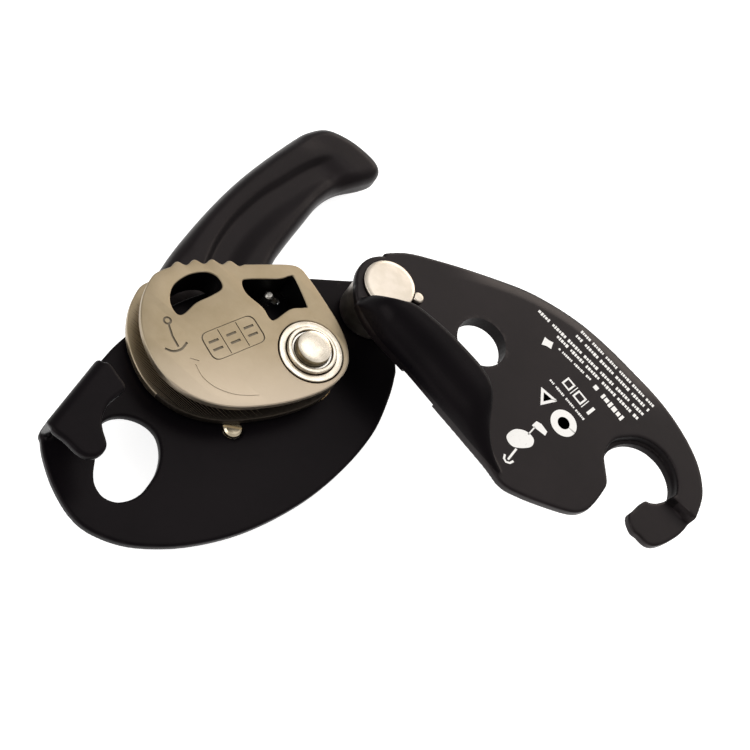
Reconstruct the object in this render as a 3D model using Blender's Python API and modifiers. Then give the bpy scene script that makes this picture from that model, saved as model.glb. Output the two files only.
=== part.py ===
"""Self-braking rope descender, lying on its rear cap with its side plate swung open.

The source works in millimetres and writes metres, +Z up. The origin is on the spindle's axis, in the
plane of the rear cap's outer face. +Y runs from the spindle towards the handle's tip.
"""

import math

import bmesh
import bpy
from mathutils import Matrix

MM = 0.001
GAP = 0.3

# Heights
CAP_TOP = 2.2
HUB_LOW, HUB_TOP = 2.6, 14.4
GRIP_LOW, GRIP_TOP = 3.2, 15.2
BACK_LOW, BACK_TOP = 15.5, 19.0
CAM_LOW, CAM_TOP = 20.4, 33.0
FLANGE_THICK = 2.8
SIDE_LOW, SIDE_TOP = 35.9, 39.4
TIP_LOW, TIP_TOP = 32.6, 36.1
GATE_LOW, GATE_TOP = 36.5, 39.8
SPINDLE_TOP = 34.8
BUTTON_TOP = 37.2
SPRING_FLOOR = 13.0

# Axes and places in the plan
PIVOT = (4.2, 38.0)
EYE = (-21.4, -70.2)
SWING = math.radians(110)
STOP_POST = (-2.1, -34.0)
PARK_PIN = (-22.5, 16.4)
CAM_STOP = (-24.1, 11.2)
NUB = (14.9, 42.0)

# Radii
HOLE_R = 9.5
SLOT_R = 14.4
POST_R = 10.8
SHANK_R = 4.8
SPINDLE_R = 8.7
AXLE_R = 6.2
BUTTON_R = 6.2
CAM_BORE_R = 11.6
HUB_R = 21.0
DRIVE_R = 15.5
DRIVE_HALF = 1.9
DRIVE_ROOM = 7.5
DRIVE_ANGLE = -155
HANDLE_PULL = 45
CAM_LOCK = 20
CAM_LIFT = 12

BLACK = (0.035, 0.030, 0.033, 1)
STEEL = (0.78, 0.75, 0.70, 1)
CAST = (0.55, 0.49, 0.42, 1)
BRIGHT = (0.86, 0.84, 0.80, 1)
BRONZE = (0.60, 0.42, 0.22, 1)
SPRING = (0.45, 0.45, 0.46, 1)


def clear_scene():
    for obj in list(bpy.data.objects):
        bpy.data.objects.remove(obj, do_unlink=True)


def collection(name):
    made = bpy.data.collections.new(name)
    bpy.context.scene.collection.children.link(made)
    return made


clear_scene()
PARTS = collection("rope_descender")
CUTTERS = collection("cutters")


def material(name, colour, roughness, metallic):
    made = bpy.data.materials.new(name)
    made.use_nodes = True
    shader = made.node_tree.nodes["Principled BSDF"]
    shader.inputs["Base Color"].default_value = colour
    shader.inputs["Roughness"].default_value = roughness
    shader.inputs["Metallic"].default_value = metallic
    return made


# --- outlines, as lists of (x, y) in millimetres ---


def turn(point, angle, centre=(0.0, 0.0)):
    """The point turned about a centre."""
    x = point[0] - centre[0]
    y = point[1] - centre[1]
    c, s = math.cos(angle), math.sin(angle)
    return (centre[0] + x * c - y * s, centre[1] + x * s + y * c)


def arc(centre, radius, start, end, steps):
    """Points along an arc, angles in degrees."""
    angles = [math.radians(start + (end - start) * i / steps) for i in range(steps + 1)]
    return [(centre[0] + radius * math.cos(a), centre[1] + radius * math.sin(a)) for a in angles]


def smooth(points, steps=4, closed=False):
    """A Catmull-Rom curve through the points."""
    count = len(points)
    runs = count if closed else count - 1
    made = []
    for i in range(runs):
        if closed:
            four = [points[(i + k) % count] for k in (-1, 0, 1, 2)]
        else:
            four = [points[min(max(i + k, 0), count - 1)] for k in (-1, 0, 1, 2)]
        for step in range(steps):
            t = step / steps
            weights = (
                (-t + 2 * t * t - t**3) / 2,
                (2 - 5 * t * t + 3 * t**3) / 2,
                (t + 4 * t * t - 3 * t**3) / 2,
                (t**3 - t * t) / 2,
            )
            made.append(tuple(sum(w * p[axis] for w, p in zip(weights, four)) for axis in (0, 1)))
    if not closed:
        made.append(points[-1])
    return made


def ring_sector(centre, inner, outer, start, end, steps=16):
    return arc(centre, outer, start, end, steps) + arc(centre, inner, end, start, steps)


def scaled(outline, centre, factor):
    return [(centre[0] + (x - centre[0]) * factor, centre[1] + (y - centre[1]) * factor) for x, y in outline]


# --- solids ---


def new_object(name, mesh, where):
    obj = bpy.data.objects.new(name, mesh)
    where.objects.link(obj)
    if where is CUTTERS:
        obj.hide_render = True
        obj.display_type = "WIRE"
    return obj


def prism(name, outline, low, high, where=PARTS):
    """A flat outline extruded from one height to another."""
    curve = bpy.data.curves.new(name, "CURVE")
    curve.dimensions = "2D"
    curve.fill_mode = "BOTH"
    curve.extrude = (high - low) / 2 * MM
    spline = curve.splines.new("POLY")
    spline.points.add(len(outline) - 1)
    for point, (x, y) in zip(spline.points, outline):
        point.co = (x * MM, y * MM, 0, 1)
    spline.use_cyclic_u = True
    guide = bpy.data.objects.new(name + "_outline", curve)
    guide.location.z = (low + high) / 2 * MM
    where.objects.link(guide)
    bpy.context.view_layer.update()
    evaluated = guide.evaluated_get(bpy.context.evaluated_depsgraph_get())
    mesh = bpy.data.meshes.new_from_object(evaluated)
    shape = bmesh.new()
    shape.from_mesh(mesh)
    bmesh.ops.remove_doubles(shape, verts=shape.verts, dist=1e-6)
    bmesh.ops.recalc_face_normals(shape, faces=shape.faces)
    shape.to_mesh(mesh)
    shape.free()
    obj = new_object(name, mesh, where)
    obj.matrix_world = guide.matrix_world
    bpy.data.objects.remove(guide)
    return obj


def disc(name, radius, low, high, at=(0, 0), sides=48, where=PARTS):
    mesh = bpy.data.meshes.new(name)
    shape = bmesh.new()
    middle = Matrix.Translation((0, 0, (high - low) / 2 * MM))
    bmesh.ops.create_cone(
        shape,
        cap_ends=True,
        segments=sides,
        radius1=radius * MM,
        radius2=radius * MM,
        depth=(high - low) * MM,
        matrix=middle,
    )
    shape.to_mesh(mesh)
    shape.free()
    obj = new_object(name, mesh, where)
    obj.location = (at[0] * MM, at[1] * MM, low * MM)
    return obj


def turned(name, profile, at=(0, 0), ring=False, sides=48, where=PARTS):
    """A profile of (radius, height), outer side top to bottom, turned about a vertical axis."""
    mesh = bpy.data.meshes.new(name)
    edges = [(i, i + 1) for i in range(len(profile) - 1)]
    if ring:
        edges.append((len(profile) - 1, 0))
    mesh.from_pydata([(r * MM, 0, z * MM) for r, z in profile], edges, [])
    obj = new_object(name, mesh, where)
    obj.location = (at[0] * MM, at[1] * MM, 0)
    screw = obj.modifiers.new("turn", "SCREW")
    screw.steps = sides
    screw.render_steps = sides
    screw.use_merge_vertices = True
    screw.merge_threshold = 1e-6
    return obj


def tube(name, outer, inner, low, high, at=(0, 0), sides=32):
    """A bush or washer."""
    return turned(name, [(inner, high), (outer, high), (outer, low), (inner, low)], at, True, sides)


def coil(name, radius, wire, low, high, turns, start=0.0, per_turn=22):
    """A round-wire spring about the spindle's axis."""
    curve = bpy.data.curves.new(name, "CURVE")
    curve.dimensions = "3D"
    curve.bevel_depth = wire * MM
    curve.bevel_resolution = 2
    curve.use_fill_caps = True
    spline = curve.splines.new("POLY")
    count = int(turns * per_turn) + 1
    spline.points.add(count - 1)
    for i, point in enumerate(spline.points):
        a = start + 2 * math.pi * i / per_turn
        z = low + wire + (high - low - 2 * wire) * i / (count - 1)
        point.co = (radius * math.cos(a) * MM, radius * math.sin(a) * MM, z * MM, 1)
    obj = bpy.data.objects.new(name, curve)
    PARTS.objects.link(obj)
    return obj


def boolean(target, other, operation="DIFFERENCE"):
    modifier = target.modifiers.new(other.name, "BOOLEAN")
    modifier.operation = operation
    modifier.object = other


def cut_disc(target, name, radius, low, high, at=(0, 0), sides=48):
    boolean(target, disc(name, radius, low, high, at, sides, CUTTERS))


def cut_prism(target, name, outline, low, high):
    boolean(target, prism(name, outline, low, high, CUTTERS))


def add_prism(target, name, outline, low, high):
    boolean(target, prism(name, outline, low, high, CUTTERS), "UNION")


def finish(obj, surface):
    obj.data.materials.append(surface)
    return obj


def round_off(obj):
    obj.data.shade_smooth()
    obj.data.set_sharp_from_angle(angle=math.radians(35))


def axis_empty(name, at):
    empty = bpy.data.objects.new(name, None)
    empty.location = (at[0] * MM, at[1] * MM, 0)
    PARTS.objects.link(empty)
    return empty


def hang(pieces, empty):
    """Parent the pieces to an axis and leave them where they are."""
    bpy.context.view_layer.update()
    for piece in pieces:
        piece.parent = empty
        piece.matrix_parent_inverse = empty.matrix_world.inverted()


# --- back plate ---


def back_outline():
    left = [(-26.5, 25.5), (-37.0, 8.0), (-45.5, -14.0), (-48.4, -36.0), (-47.6, -50.0)]
    heel = [(-47.2, -58.0), (-45.9, -79.0), (-42.9, -82.4), (-37.5, -86.4), (-29.0, -90.9)]
    toe = [(-19.0, -94.0), (-10.0, -93.2), (1.0, -87.6), (13.0, -75.6), (23.5, -58.6), (31.0, -37.4)]
    right = [(34.2, -17.0), (34.0, 2.0), (30.2, 17.6), (26.2, 27.6)]
    head = arc(PIVOT, 14.0, 0, 150, 12)
    return smooth(left + heel + toe + right, 3) + head + [(-18.6, 33.9)]


def eye_outline():
    """The egg-shaped eye, its small end away from the tab."""
    left = [(-23.6, -78.6), (-26.4, -74.6), (-30.0, -70.2), (-32.8, -66.2), (-32.8, -61.6)]
    top = [(-30.4, -57.6), (-26.4, -54.8), (-21.9, -53.7), (-17.6, -54.6), (-13.3, -58.2)]
    right = [(-10.2, -63.6), (-9.0, -69.2), (-8.8, -73.6), (-10.0, -77.6), (-12.6, -81.0)]
    return smooth(left + top + right + [(-16.6, -82.4), (-20.6, -81.3)], 3, closed=True)


def gate_outline():
    """The folded tab's flange, seen from the front, with its beak."""
    fold = [(-44.5, -70.5), (-45.9, -61.5), (-45.2, -58.6), (-42.6, -57.5), (-37.0, -58.7)]
    side = [(-33.7, -59.6), (-32.7, -61.6), (-33.1, -67.1), (-32.4, -70.5), (-30.9, -73.5)]
    beak = [(-28.6, -75.8), (-24.9, -78.3), (-23.7, -80.6), (-24.1, -83.9), (-26.4, -86.4)]
    foot = [(-29.5, -87.0), (-34.0, -86.7), (-38.0, -87.3), (-41.2, -87.4), (-42.3, -85.0), (-43.1, -79.5)]
    return smooth(fold + side + beak + foot, 3, closed=True)


def make_back_plate(surface):
    plate = prism("back_plate", back_outline(), BACK_LOW, BACK_TOP)
    wall = [(-46.1, -58.4), (-43.4, -58.1), (-41.6, -80.5), (-44.0, -80.7)]
    add_prism(plate, "gate_wall", wall, BACK_LOW + 1, GATE_TOP - 0.5)
    add_prism(plate, "gate_flange", gate_outline(), GATE_LOW, GATE_TOP)
    cut_prism(plate, "eye_hole", eye_outline(), BACK_LOW - 2, BACK_TOP + 2)
    cut_disc(plate, "axle_hole", AXLE_R + GAP, BACK_LOW - 2, BACK_TOP + 2)
    cut_disc(plate, "rivet_hole", SHANK_R + GAP, BACK_LOW - 2, BACK_TOP + 2, PIVOT)
    cut_disc(plate, "stop_screw_hole", 2.2, BACK_LOW - 2, BACK_TOP + 2, STOP_POST, 24)
    cut_disc(plate, "stop_screw_sink", 3.6, BACK_TOP - 1.2, BACK_TOP + 2, STOP_POST, 32)
    cut_disc(plate, "park_pin_hole", 1.9, BACK_LOW - 2, BACK_TOP - 1, PARK_PIN, 24)
    cut_disc(plate, "cam_stop_hole", 1.9, BACK_LOW + 1, BACK_TOP + 2, CAM_STOP, 24)
    start = DRIVE_ANGLE - DRIVE_ROOM
    end = DRIVE_ANGLE + HANDLE_PULL + DRIVE_ROOM
    slot = ring_sector((0, 0), DRIVE_R - DRIVE_HALF, DRIVE_R + DRIVE_HALF, start, end)
    cut_prism(plate, "drive_slot", slot, BACK_LOW - 2, BACK_TOP + 2)
    return finish(plate, surface)


# --- side plate, drawn in its open position ---


def side_outline():
    shoulder = [(-4.0, 47.4), (-3.0, 50.4), (1.7, 55.5), (11.7, 61.9), (31.8, 74.7), (48.0, 82.0)]
    rim = [(68.7, 86.0), (93.9, 84.6), (113.4, 80.1), (127.6, 73.0), (136.0, 64.0), (138.8, 55.2)]
    hook = [(138.9, 49.5), (137.9, 43.6), (135.2, 36.8), (132.6, 33.0), (129.7, 31.6), (126.2, 31.9)]
    nose = [(123.6, 31.8), (120.6, 33.8), (119.2, 36.2), (120.0, 39.6), (120.6, 43.2), (121.5, 45.6)]
    mouth = [(123.0, 46.3), (125.0, 47.9), (126.9, 50.6), (128.2, 53.2)]
    slot = arc(turn(EYE, SWING, PIVOT), SLOT_R, 14, 204, 24)
    jaw = [(103.4, 41.0), (106.0, 37.4), (106.5, 33.6), (106.2, 26.5), (105.0, 21.8), (101.4, 17.6)]
    belly = [(93.0, 13.0), (84.5, 9.2), (77.0, 7.2), (68.0, 9.3), (46.0, 13.2), (26.0, 16.7), (14.0, 18.0)]
    root = [(7.0, 19.7), (1.0, 22.9), (-4.4, 29.0)]
    left = arc(PIVOT, 12.2, 225, 132, 8)
    outer = smooth(shoulder + rim + hook + nose + mouth, 3)
    return left + outer[1:] + slot + smooth(jaw + belly + root, 3)[:-1]


# The raised fin over the rope: x, lower edge y, upper foot y, height above the plate.
FIN = (
    (0.4, 22.8, 26.4, 0.8),
    (2.8, 21.8, 27.9, 5.5),
    (7.0, 20.2, 28.6, 9.8),
    (11.5, 18.6, 31.0, 11.6),
    (16.5, 17.5, 33.8, 12.0),
    (28.0, 16.2, 34.8, 12.0),
    (38.0, 14.5, 34.2, 12.0),
    (47.0, 12.9, 32.8, 12.0),
    (52.5, 12.1, 30.2, 11.6),
    (56.5, 11.3, 26.0, 9.6),
    (61.0, 10.5, 19.6, 6.0),
    (67.0, 9.6, 14.0, 3.0),
    (74.0, 8.4, 10.4, 1.0),
)


def fin_section(low, foot, height, base, steps=14):
    """An arch in the Y-Z plane: steep on the foot's side, easy on the lower side."""
    crest = foot - 0.24 * (foot - low)
    made = []
    for i in range(steps + 1):
        a = math.pi * i / steps
        reach = (foot - crest) if a < math.pi / 2 else (crest - low)
        made.append((crest + reach * math.cos(a), base + height * math.sin(a) ** 0.85))
    return made


def fin(name, rows, base, floor):
    """A loft through arches, closed below by a flat floor."""
    mesh = bpy.data.meshes.new(name)
    shape = bmesh.new()
    rings = []
    for x, low, foot, height in rows:
        arch = fin_section(low, foot, height, base)
        loop = arch + [(arch[-1][0], floor), (arch[0][0], floor)]
        rings.append([shape.verts.new((x * MM, y * MM, z * MM)) for y, z in loop])
    for one, two in zip(rings, rings[1:]):
        for i in range(len(one)):
            j = (i + 1) % len(one)
            shape.faces.new((one[i], one[j], two[j], two[i]))
    shape.faces.new(rings[0])
    shape.faces.new(reversed(rings[-1]))
    bmesh.ops.recalc_face_normals(shape, faces=shape.faces)
    shape.to_mesh(mesh)
    shape.free()
    return new_object(name, mesh, CUTTERS)


def make_side_plate(surface):
    plate = prism("side_plate", side_outline(), SIDE_LOW, SIDE_TOP)
    hole = turn((0, 0), SWING, PIVOT)
    slot = turn(EYE, SWING, PIVOT)
    boolean(plate, fin("fin_outside", FIN, SIDE_TOP - 0.6, SIDE_LOW + 0.4), "UNION")
    tip = [(116.9, 47.5), (116.9, 33.0), (122.4, 28.0), (136.0, 28.0), (142.0, 45.0), (142.0, 52.6)]
    tip += [(129.4, 52.8), (127.9, 54.6), (123.8, 53.5)]
    under = arc(slot, SLOT_R - 1.4, 8, 150, 24) + arc(slot, SLOT_R + 4.0, 150, 15, 12)
    under += [(137.4, 49.8), (136.6, 44.0), (134.0, 37.4), (131.6, 33.9), (129.3, 32.5), (126.2, 32.8)]
    under += [(124.0, 32.7), (121.5, 34.3), (120.2, 36.4), (121.0, 39.8), (121.6, 43.0), (122.2, 44.9)]
    under += [(123.4, 45.6), (125.7, 47.5), (127.4, 50.2)]
    add_prism(plate, "tip_under", under, TIP_LOW, TIP_TOP + 1)
    cut_prism(plate, "tip_face", tip, TIP_TOP, SIDE_TOP + 2)
    boolean(plate, disc("collar", HOLE_R + 1.8, CAM_TOP + 0.6, SIDE_LOW + 0.5, hole, 48, CUTTERS), "UNION")
    cut_disc(plate, "spindle_window", HOLE_R, CAM_TOP - 2, SIDE_TOP + 2, hole)
    inner = [(x, low + 3.2, foot - 2.8, height - 2.6) for x, low, foot, height in FIN[2:10]]
    boolean(plate, fin("fin_inside", inner, SIDE_TOP - 0.6, SIDE_LOW - 2))
    hub_angle = math.degrees(math.atan2(hole[1] - PIVOT[1], hole[0] - PIVOT[0]))
    reach = math.dist(hole, PIVOT)
    entry = ring_sector(PIVOT, reach - 12.4, reach + 12.4, hub_angle - 60, hub_angle)
    cut_prism(plate, "collar_mouth", entry, CAM_TOP - 2, SIDE_LOW + 0.15)
    path = ring_sector(PIVOT, reach - 7.0, reach + 7.0, hub_angle - 60, hub_angle)
    cut_prism(plate, "button_path", path, CAM_TOP - 1, BUTTON_TOP + 0.4)
    cut_disc(plate, "bush_hole", 7.3, SIDE_LOW - 2, SIDE_TOP + 2, PIVOT)
    cut_disc(plate, "nub_hole", 1.2, SIDE_LOW - 2, SIDE_TOP + 2, NUB, 16)
    return finish(plate, surface)


# --- cam ---

CAM_CENTRE = (-20.0, -10.0)


def cam_outline(teeth=4, tooth=1.7, per_tooth=6):
    """The cam's rim, with its serrated stretch worked out by a formula."""
    first, last = (-52.9, -12.6), (-37.2, 6.9)
    serrated = []
    for i in range(teeth * per_tooth + 1):
        t = i / (teeth * per_tooth)
        bow = 1.2 * math.sin(math.pi * t)
        rise = tooth * (0.5 - 0.5 * math.cos(2 * math.pi * teeth * t))
        along = (first[0] + (last[0] - first[0]) * t, first[1] + (last[1] - first[1]) * t)
        serrated.append((along[0] - 0.78 * (bow + rise), along[1] + 0.63 * (bow + rise)))
    top = [(-36.6, 8.6), (-31.0, 15.4), (-25.9, 21.2), (-22.6, 23.2), (-18.4, 22.7), (-7.0, 19.2)]
    nose = [(0.9, 16.2), (7.5, 12.0), (12.0, 6.4), (13.2, -0.6), (11.3, -9.6), (5.4, -21.6)]
    heel = [(-2.9, -33.0), (-10.6, -39.8), (-19.0, -43.5), (-28.3, -44.3), (-37.3, -41.4)]
    back = [(-45.4, -35.8), (-51.4, -28.0), (-54.4, -19.6), (-53.7, -14.6)]
    return serrated + smooth(top + nose + heel + back, 3)


def left_window():
    return smooth(
        [
            (-47.4, -16.5),
            (-46.6, -9.5),
            (-43.2, -4.0),
            (-39.1, -2.6),
            (-36.0, -4.7),
            (-36.6, -9.5),
            (-38.3, -15.8),
            (-38.5, -22.4),
            (-40.6, -23.9),
            (-44.8, -21.6),
        ],
        3,
        closed=True,
    )


def right_window():
    return smooth(
        [
            (-32.7, 2.6),
            (-31.8, 5.4),
            (-24.8, 13.8),
            (-23.0, 17.6),
            (-21.2, 18.3),
            (-12.2, 13.4),
            (-12.0, 11.8),
            (-14.9, 7.6),
            (-16.1, 0.2),
            (-17.6, -0.9),
            (-22.0, 0.5),
            (-29.0, 0.4),
        ],
        3,
        closed=True,
    )


def make_cam(surface):
    rim = cam_outline()
    cam = prism("cam", rim, CAM_TOP - FLANGE_THICK, CAM_TOP)
    core = scaled(rim, CAM_CENTRE, 0.85)
    add_prism(cam, "cam_core", core, CAM_LOW + 1.5, CAM_TOP - 1.5)
    add_prism(cam, "cam_rear_flange", scaled(rim, CAM_CENTRE, 1.005), CAM_LOW, CAM_LOW + FLANGE_THICK)
    hub = disc("cam_hub", CAM_BORE_R + 1.5, CAM_LOW + 1, CAM_TOP - 1, where=CUTTERS)
    boolean(cam, hub, "UNION")
    cut_prism(cam, "left_window", left_window(), CAM_LOW - 2, CAM_TOP + 2)
    cut_prism(cam, "right_window", right_window(), CAM_LOW - 2, CAM_TOP + 2)
    cut_disc(cam, "cam_bore", CAM_BORE_R, CAM_LOW - 2, CAM_TOP + 2)
    start = DRIVE_ANGLE - CAM_LIFT - DRIVE_ROOM
    end = DRIVE_ANGLE + HANDLE_PULL + CAM_LOCK + DRIVE_ROOM
    pocket = ring_sector((0, 0), DRIVE_R - DRIVE_HALF, DRIVE_R + DRIVE_HALF, start, end, 24)
    cut_prism(cam, "drive_pocket", pocket, CAM_LOW - 2, CAM_LOW + 4)
    return finish(cam, surface)


# --- handle ---


def handle_outline():
    outer = [(-15.4, -14.5), (-31.0, -19.2), (-45.0, -18.0), (-55.0, -10.8), (-59.3, 2.0), (-62.1, 20.8)]
    back = [(-63.7, 42.0), (-63.5, 61.0), (-61.7, 82.0), (-60.0, 90.5), (-55.8, 97.6), (-46.5, 101.6)]
    tip = [(-36.0, 102.2), (-30.4, 100.2), (-28.5, 95.5), (-29.4, 89.2), (-33.9, 79.0), (-35.5, 69.4)]
    inner = [(-35.5, 58.0), (-34.6, 43.2), (-33.0, 33.0), (-28.4, 21.0), (-20.4, 11.0), (-18.8, 5.0)]
    return smooth(outer + back + tip + inner, 3)


def drive_place():
    return arc((0, 0), DRIVE_R, DRIVE_ANGLE, 0, 1)[0]


def make_handle(surface):
    handle = prism("handle", handle_outline(), GRIP_LOW, GRIP_TOP)
    boolean(handle, disc("handle_hub", HUB_R, HUB_LOW, HUB_TOP, where=CUTTERS), "UNION")
    cut_disc(handle, "hub_face", HUB_R + 1, HUB_TOP, GRIP_TOP + 2)
    cut_disc(handle, "cap_seat", HUB_R + 1, HUB_LOW - 2, HUB_LOW)
    cut_disc(handle, "hub_bore", 8.4, HUB_LOW - 2, HUB_TOP + 2)
    seat = ring_sector((0, 0), 9.8, 13.2, 0, 180, 24)
    cut_prism(handle, "spring_seat_a", seat, HUB_TOP - 6.9, HUB_TOP + 2)
    seat = ring_sector((0, 0), 9.8, 13.2, 179.5, 360.5, 24)
    cut_prism(handle, "spring_seat_b", seat, HUB_TOP - 6.9, HUB_TOP + 2)
    cut_disc(handle, "drive_pin_hole", 1.7, HUB_LOW + 2, HUB_TOP + 2, drive_place(), 24)
    return finish(handle, surface)


# --- small turned pieces ---


def make_spindle(surface):
    profile = [
        (7.2, SPINDLE_TOP),
        (SPINDLE_R - 0.4, SPINDLE_TOP),
        (SPINDLE_R, SPINDLE_TOP - 0.4),
        (SPINDLE_R, BACK_TOP + GAP),
        (AXLE_R, BACK_TOP + GAP),
        (AXLE_R, CAP_TOP + GAP),
        (0, CAP_TOP + GAP),
    ]
    bore = [(0, SPRING_FLOOR), (4.1, SPRING_FLOOR), (4.1, 23.1), (7.2, 23.1)]
    spindle = turned("spindle", bore + profile)
    for i in range(3):
        cut_disc(spindle, f"cap_thread_{i + 1}", 1.3, 0, 7, cap_screw_place(i), 16)
    return finish(spindle, surface)


def make_friction_post(surface):
    """The steel drum that the rope is pinched against, with eased ends."""
    low, high, bore = BACK_TOP + GAP, 34.6, SHANK_R + GAP
    side = [(POST_R - 0.8, high), (POST_R, high - 0.8), (POST_R, low + 0.8), (POST_R - 0.8, low)]
    return finish(turned("friction_post", [(bore, high)] + side + [(bore, low)], PIVOT, True), surface)


def make_button(surface):
    profile = [
        (0, BUTTON_TOP),
        (3.2, BUTTON_TOP - 0.15),
        (4.8, BUTTON_TOP - 0.7),
        (5.8, BUTTON_TOP - 1.7),
        (BUTTON_R, BUTTON_TOP - 3.0),
        (BUTTON_R, 28.6),
        (6.9, 28.6),
        (6.9, 27.0),
        (0, 27.0),
    ]
    return finish(turned("latch_button", profile), surface)


def make_rivet(surface):
    head = SIDE_TOP + GAP
    profile = [
        (0, head + 1.5),
        (8.9, head + 1.5),
        (9.5, head + 1.0),
        (9.5, head),
        (SHANK_R, head),
        (SHANK_R, BACK_LOW - GAP),
        (8.0, BACK_LOW - GAP),
        (7.2, BACK_LOW - 1.6),
        (4.5, BACK_LOW - 2.2),
        (0, BACK_LOW - 2.2),
    ]
    return finish(turned("pivot_rivet", profile, PIVOT), surface)


def make_stop_screw(surface):
    profile = [
        (0, CAM_LOW - 0.4),
        (2.9, CAM_LOW - 0.4),
        (3.25, BACK_TOP + 0.6),
        (3.25, BACK_TOP - 0.8),
        (1.6, BACK_TOP - 0.8),
        (1.6, 8.0),
        (0, 8.0),
    ]
    screw = turned("stop_screw", profile, STOP_POST, sides=32)
    across = [(-4, -0.45), (4, -0.45), (4, 0.45), (-4, 0.45)]
    slot = [(x + STOP_POST[0], y + STOP_POST[1]) for x, y in across]
    cut_prism(screw, "stop_screw_slot", slot, BACK_TOP + 0.2, BACK_TOP + 4)
    return finish(screw, surface)


def cap_screw_place(index):
    return (3.4 * math.cos(2.1 * index + 0.5), 3.4 * math.sin(2.1 * index + 0.5))


def make_rear_cap(surface):
    profile = [(0, CAP_TOP), (19.4, CAP_TOP), (20.0, CAP_TOP - 0.6), (20.0, 0.6), (19.4, 0), (0, 0)]
    cap = turned("rear_cap", profile, sides=64)
    for i in range(3):
        cut_disc(cap, f"cap_screw_hole_{i + 1}", 1.3, -2, CAP_TOP + 2, cap_screw_place(i), 16)
        cut_disc(cap, f"cap_screw_sink_{i + 1}", 2.1, -2, 1.2, cap_screw_place(i), 16)
    return finish(cap, surface)


def make_cap_screw(index, surface):
    profile = [(0, 6.0), (1.0, 6.0), (1.0, 0.9), (1.8, 0.9), (1.8, 0.3), (1.5, 0.1), (0, 0.1)]
    return finish(turned(f"cap_screw_{index + 1}", profile, cap_screw_place(index), sides=16), surface)


def pin(name, radius, low, high, at, surface, sides=24):
    edge = 0.35 * radius
    profile = [(0, high), (radius - edge, high), (radius, high - edge), (radius, low), (0, low)]
    return finish(turned(name, profile, at, sides=sides), surface)


def main():
    black = material("black_anodised", BLACK, 0.38, 0.6)
    handle_black = material("black_moulded", BLACK, 0.45, 0.0)
    steel = material("bright_steel", STEEL, 0.25, 1.0)
    cast = material("cast_stainless", CAST, 0.42, 1.0)
    bright = material("nickel_bright", BRIGHT, 0.2, 1.0)
    bronze = material("bearing_bronze", BRONZE, 0.4, 1.0)
    wire = material("spring_wire", SPRING, 0.3, 1.0)

    make_back_plate(black)
    make_friction_post(steel)
    make_rivet(bright)
    finish(tube("plate_washer", 9.0, SHANK_R + GAP, 34.9, 35.6, PIVOT), steel)
    make_spindle(bright)
    finish(tube("cam_washer", 13.5, SPINDLE_R + GAP, BACK_TOP + GAP, CAM_LOW - GAP), bronze)
    pin("cam_stop_pin", 1.6, BACK_LOW + 1.3, 26.0, CAM_STOP, bright)
    pin("handle_park_pin", 1.6, 5.0, BACK_TOP - 1.3, PARK_PIN, steel)
    finish(tube("handle_stop_post", 4.0, 2.0, 6.0, BACK_LOW - GAP, STOP_POST, sides=32), steel)
    make_stop_screw(bright)
    finish(tube("handle_washer", 9.3, AXLE_R + GAP, HUB_TOP + GAP, BACK_LOW - GAP), bronze)
    finish(coil("handle_spring", 11.5, 0.9, HUB_TOP - 6.6, HUB_TOP - 0.2, 2.5, per_turn=20), wire)
    make_rear_cap(steel)
    for index in range(3):
        make_cap_screw(index, bright)

    side = make_side_plate(black)
    bush = finish(tube("plate_bush", 7.0, SHANK_R + GAP, SIDE_LOW + GAP, SIDE_TOP - GAP, PIVOT), bronze)
    nub = pin("plate_stop_pin", 1.6, SIDE_TOP + GAP, SIDE_TOP + 1.8, NUB, bright)
    hang([side, bush, nub], axis_empty("side_plate_axis", PIVOT))

    cam = make_cam(cast)
    cam_bush = finish(tube("cam_bush", CAM_BORE_R - GAP, SPINDLE_R + GAP, 26.2, CAM_TOP + 0.3), steel)
    cam_spring = finish(coil("cam_spring", 10.3, 0.8, CAM_LOW + 0.4, 25.9, 1.5, per_turn=16), wire)
    hang([cam, cam_bush, cam_spring], axis_empty("cam_axis", (0, 0)))

    button = make_button(bright)
    hang([button], axis_empty("button_axis", (0, 0)))
    finish(coil("button_spring", 3.2, 0.45, SPRING_FLOOR + GAP, 26.7, 6, per_turn=12), wire)
    finish(tube("button_circlip", 7.0, BUTTON_R + 0.25, 33.2, 33.9, sides=40), steel)

    handle = make_handle(handle_black)
    handle_bush = finish(tube("handle_bush", 8.1, AXLE_R + GAP, HUB_LOW + 0.1, HUB_TOP - 0.1), bronze)
    drive = pin("drive_pin", 1.4, HUB_LOW + 2.4, CAM_LOW + 3.4, drive_place(), steel)
    hang([handle, handle_bush, drive], axis_empty("handle_axis", (0, 0)))

    for obj in PARTS.objects:
        if obj.type == "MESH":
            round_off(obj)


main()
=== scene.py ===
"""A self-braking rope descender lying open: its detailed pieces, their materials and the studio."""

import math

import bmesh
import bpy
import numpy as np
from mathutils import Matrix, Vector


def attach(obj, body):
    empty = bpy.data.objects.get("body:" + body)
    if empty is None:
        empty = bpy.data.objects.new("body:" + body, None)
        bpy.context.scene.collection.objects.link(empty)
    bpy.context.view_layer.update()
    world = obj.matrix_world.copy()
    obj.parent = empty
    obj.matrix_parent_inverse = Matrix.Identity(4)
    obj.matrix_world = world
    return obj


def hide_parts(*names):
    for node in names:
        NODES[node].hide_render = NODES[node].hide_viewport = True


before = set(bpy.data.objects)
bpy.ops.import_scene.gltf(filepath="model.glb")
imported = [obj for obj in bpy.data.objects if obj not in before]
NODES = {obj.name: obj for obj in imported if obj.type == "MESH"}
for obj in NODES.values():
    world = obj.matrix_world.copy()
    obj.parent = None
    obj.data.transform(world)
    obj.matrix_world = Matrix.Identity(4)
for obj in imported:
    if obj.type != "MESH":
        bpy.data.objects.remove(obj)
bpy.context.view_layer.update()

MM = 0.001
SCENE = bpy.context.scene

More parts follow.
